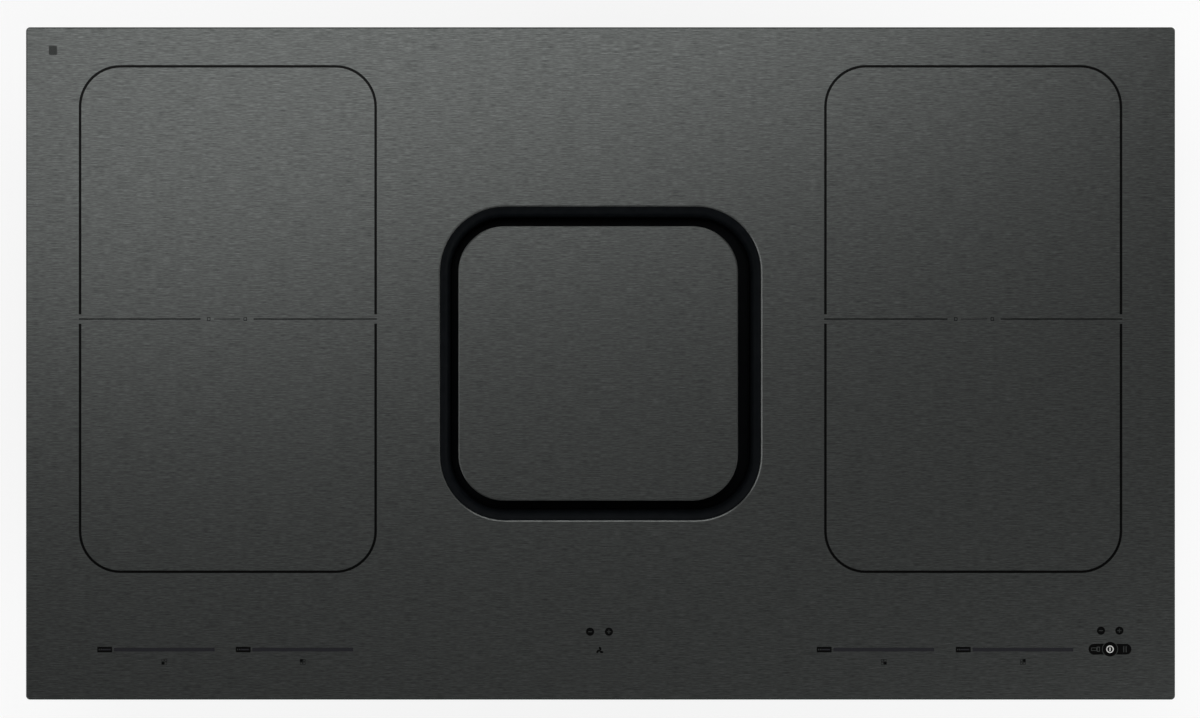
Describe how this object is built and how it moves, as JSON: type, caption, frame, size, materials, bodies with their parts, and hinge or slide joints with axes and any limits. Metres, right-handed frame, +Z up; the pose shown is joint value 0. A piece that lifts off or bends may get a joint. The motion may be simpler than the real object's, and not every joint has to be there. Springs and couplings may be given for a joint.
{
  "type": "downdraft induction cooktop",
  "caption": "Built-in induction cooktop with two wide flex zones and a central downdraft intake: fan casing, filter basket and flat rear duct outlet hang below the glass.",
  "frame": {"origin": "under the middle of the glass, at the level of the fan casing's feet, the lowest point", "axes": "+X to the cook's right along the long side of the glass, +Y to the back where the duct leaves, +Z up out of the glass"},
  "size_m": [0.88, 0.515, 0.198],
  "materials": {
    "dark_glass": "ground-edge glass ceramic with a fine brushed-look print",
    "black_plastic": "fine-textured moulded polymer",
    "gloss_black_plastic": "polished moulded polymer",
    "grey_plastic": "talc-filled moulded polymer",
    "foam_rubber": "closed-cell foam",
    "zinc_steel": "zinc-coated sheet",
    "screw_steel": "zinc-plated",
    "stainless_mesh": "perforated stainless sheet",
    "bearing_steel": "ground",
    "core_steel": "stacked laminations with enamelled wire",
    "aluminium": "mill finish",
    "copper_wire": "enamelled litz",
    "ferrite": "pressed and sintered",
    "mica": "pressed mica sheet",
    "white_plastic": "moulded polymer",
    "green_board": "solder-masked board"
  },
  "bodies": {
    "root": {"blower_housing_left": "black_plastic", "blower_housing_right": "black_plastic", "cable_clamp": "black_plastic", "casing_screws": "screw_steel", "chamber_gasket": "foam_rubber", "chassis_screws": "screw_steel", "clamp_brackets": "zinc_steel", "coil_formers": "black_plastic", "coil_plate_left": "aluminium", "coil_plate_right": "aluminium", "coil_sensors": "white_plastic", "coil_winding_front_left": "copper_wire", "coil_winding_front_right": "copper_wire", "coil_winding_rear_left": "copper_wire", "coil_winding_rear_right": "copper_wire", "ferrite_bars": "ferrite", "finger_guard": "black_plastic", "front_channel": "zinc_steel", "glass_top": "dark_glass", "heat_sink_left": "aluminium", "heat_sink_right": "aluminium", "inlet_chamber": "black_plastic", "insulation_sheets": "mica", "intake_collar": "gloss_black_plastic", "motor_base": "zinc_steel", "motor_bearings": "bearing_steel", "motor_bushes": "foam_rubber", "motor_stator": "core_steel", "outlet_spigot": "black_plastic", "power_board_left": "green_board", "power_board_right": "green_board", "rear_channel": "zinc_steel", "scroll_base": "grey_plastic", "scroll_cover": "grey_plastic", "terminal_block": "white_plastic", "terminal_box": "black_plastic", "touch_boards": "green_board", "tray_left": "zinc_steel", "tray_right": "zinc_steel", "worktop_seal": "foam_rubber"},
    "overflow_tray": {"overflow_tray": "black_plastic"},
    "filter": {"filter_frame": "black_plastic", "filter_mesh": "stainless_mesh"},
    "cover": {"cover_plate": "dark_glass", "cover_carrier": "black_plastic"},
    "fan_wheel": {"impeller": "black_plastic", "rotor_cup": "zinc_steel", "motor_shaft": "bearing_steel"},
    "blower_wheel_left": {"blower_rotor_left": "black_plastic"},
    "blower_wheel_right": {"blower_rotor_right": "black_plastic"},
    "terminal_lid": {"terminal_lid": "black_plastic"},
    "clamp_front_left": {"clamp_arm_front_left": "zinc_steel"},
    "jack_front_left": {"clamp_screw_front_left": "screw_steel"},
    "clamp_rear_left": {"clamp_arm_rear_left": "zinc_steel"},
    "jack_rear_left": {"clamp_screw_rear_left": "screw_steel"},
    "clamp_front_right": {"clamp_arm_front_right": "zinc_steel"},
    "jack_front_right": {"clamp_screw_front_right": "screw_steel"},
    "clamp_rear_right": {"clamp_arm_rear_right": "zinc_steel"},
    "jack_rear_right": {"clamp_screw_rear_right": "screw_steel"}
  },
  "joints": [
    {"name": "tray_lift", "type": "slide", "parent": "root", "child": "overflow_tray", "axis": [0, 0, 1], "range_m": [0, 0.105]},
    {"name": "filter_lift", "type": "slide", "parent": "overflow_tray", "child": "filter", "axis": [0, 0, 1], "range_m": [0, 0.09]},
    {"name": "cover_lift", "type": "slide", "parent": "filter", "child": "cover", "axis": [0, 0, 1], "range_m": [0, 0.06]},
    {"name": "fan_spin", "type": "hinge", "parent": "root", "child": "fan_wheel", "pos_m": [-0.022, -0.02, 0.05], "axis": [0, 0, 1], "continuous": true},
    {"name": "blower_spin_left", "type": "hinge", "parent": "root", "child": "blower_wheel_left", "pos_m": [-0.344, -0.122, 0.15], "axis": [0, 0, 1], "continuous": true},
    {"name": "blower_spin_right", "type": "hinge", "parent": "root", "child": "blower_wheel_right", "pos_m": [0.344, -0.122, 0.15], "axis": [0, 0, 1], "continuous": true},
    {"name": "clamp_swing_front_left", "type": "hinge", "parent": "root", "child": "clamp_front_left", "pos_m": [-0.4205, -0.14, 0.1416], "axis": [0, 0, -1], "range_deg": [0, 90]},
    {"name": "clamp_jack_front_left", "type": "slide", "parent": "clamp_front_left", "child": "jack_front_left", "axis": [0, 0, 1], "range_m": [0, 0.034]},
    {"name": "clamp_swing_rear_left", "type": "hinge", "parent": "root", "child": "clamp_rear_left", "pos_m": [-0.4205, 0.165, 0.1416], "axis": [0, 0, -1], "range_deg": [0, 90]},
    {"name": "clamp_jack_rear_left", "type": "slide", "parent": "clamp_rear_left", "child": "jack_rear_left", "axis": [0, 0, 1], "range_m": [0, 0.034]},
    {"name": "clamp_swing_front_right", "type": "hinge", "parent": "root", "child": "clamp_front_right", "pos_m": [0.4205, -0.14, 0.1416], "axis": [0, 0, 1], "range_deg": [0, 90]},
    {"name": "clamp_jack_front_right", "type": "slide", "parent": "clamp_front_right", "child": "jack_front_right", "axis": [0, 0, 1], "range_m": [0, 0.034]},
    {"name": "clamp_swing_rear_right", "type": "hinge", "parent": "root", "child": "clamp_rear_right", "pos_m": [0.4205, 0.165, 0.1416], "axis": [0, 0, 1], "range_deg": [0, 90]},
    {"name": "clamp_jack_rear_right", "type": "slide", "parent": "clamp_rear_right", "child": "jack_rear_right", "axis": [0, 0, 1], "range_m": [0, 0.034]},
    {"name": "lid_hinge", "type": "hinge", "parent": "root", "child": "terminal_lid", "pos_m": [-0.285, 0.164, 0.1048], "axis": [-1, 0, 0], "range_deg": [0, 100]}
  ]
}
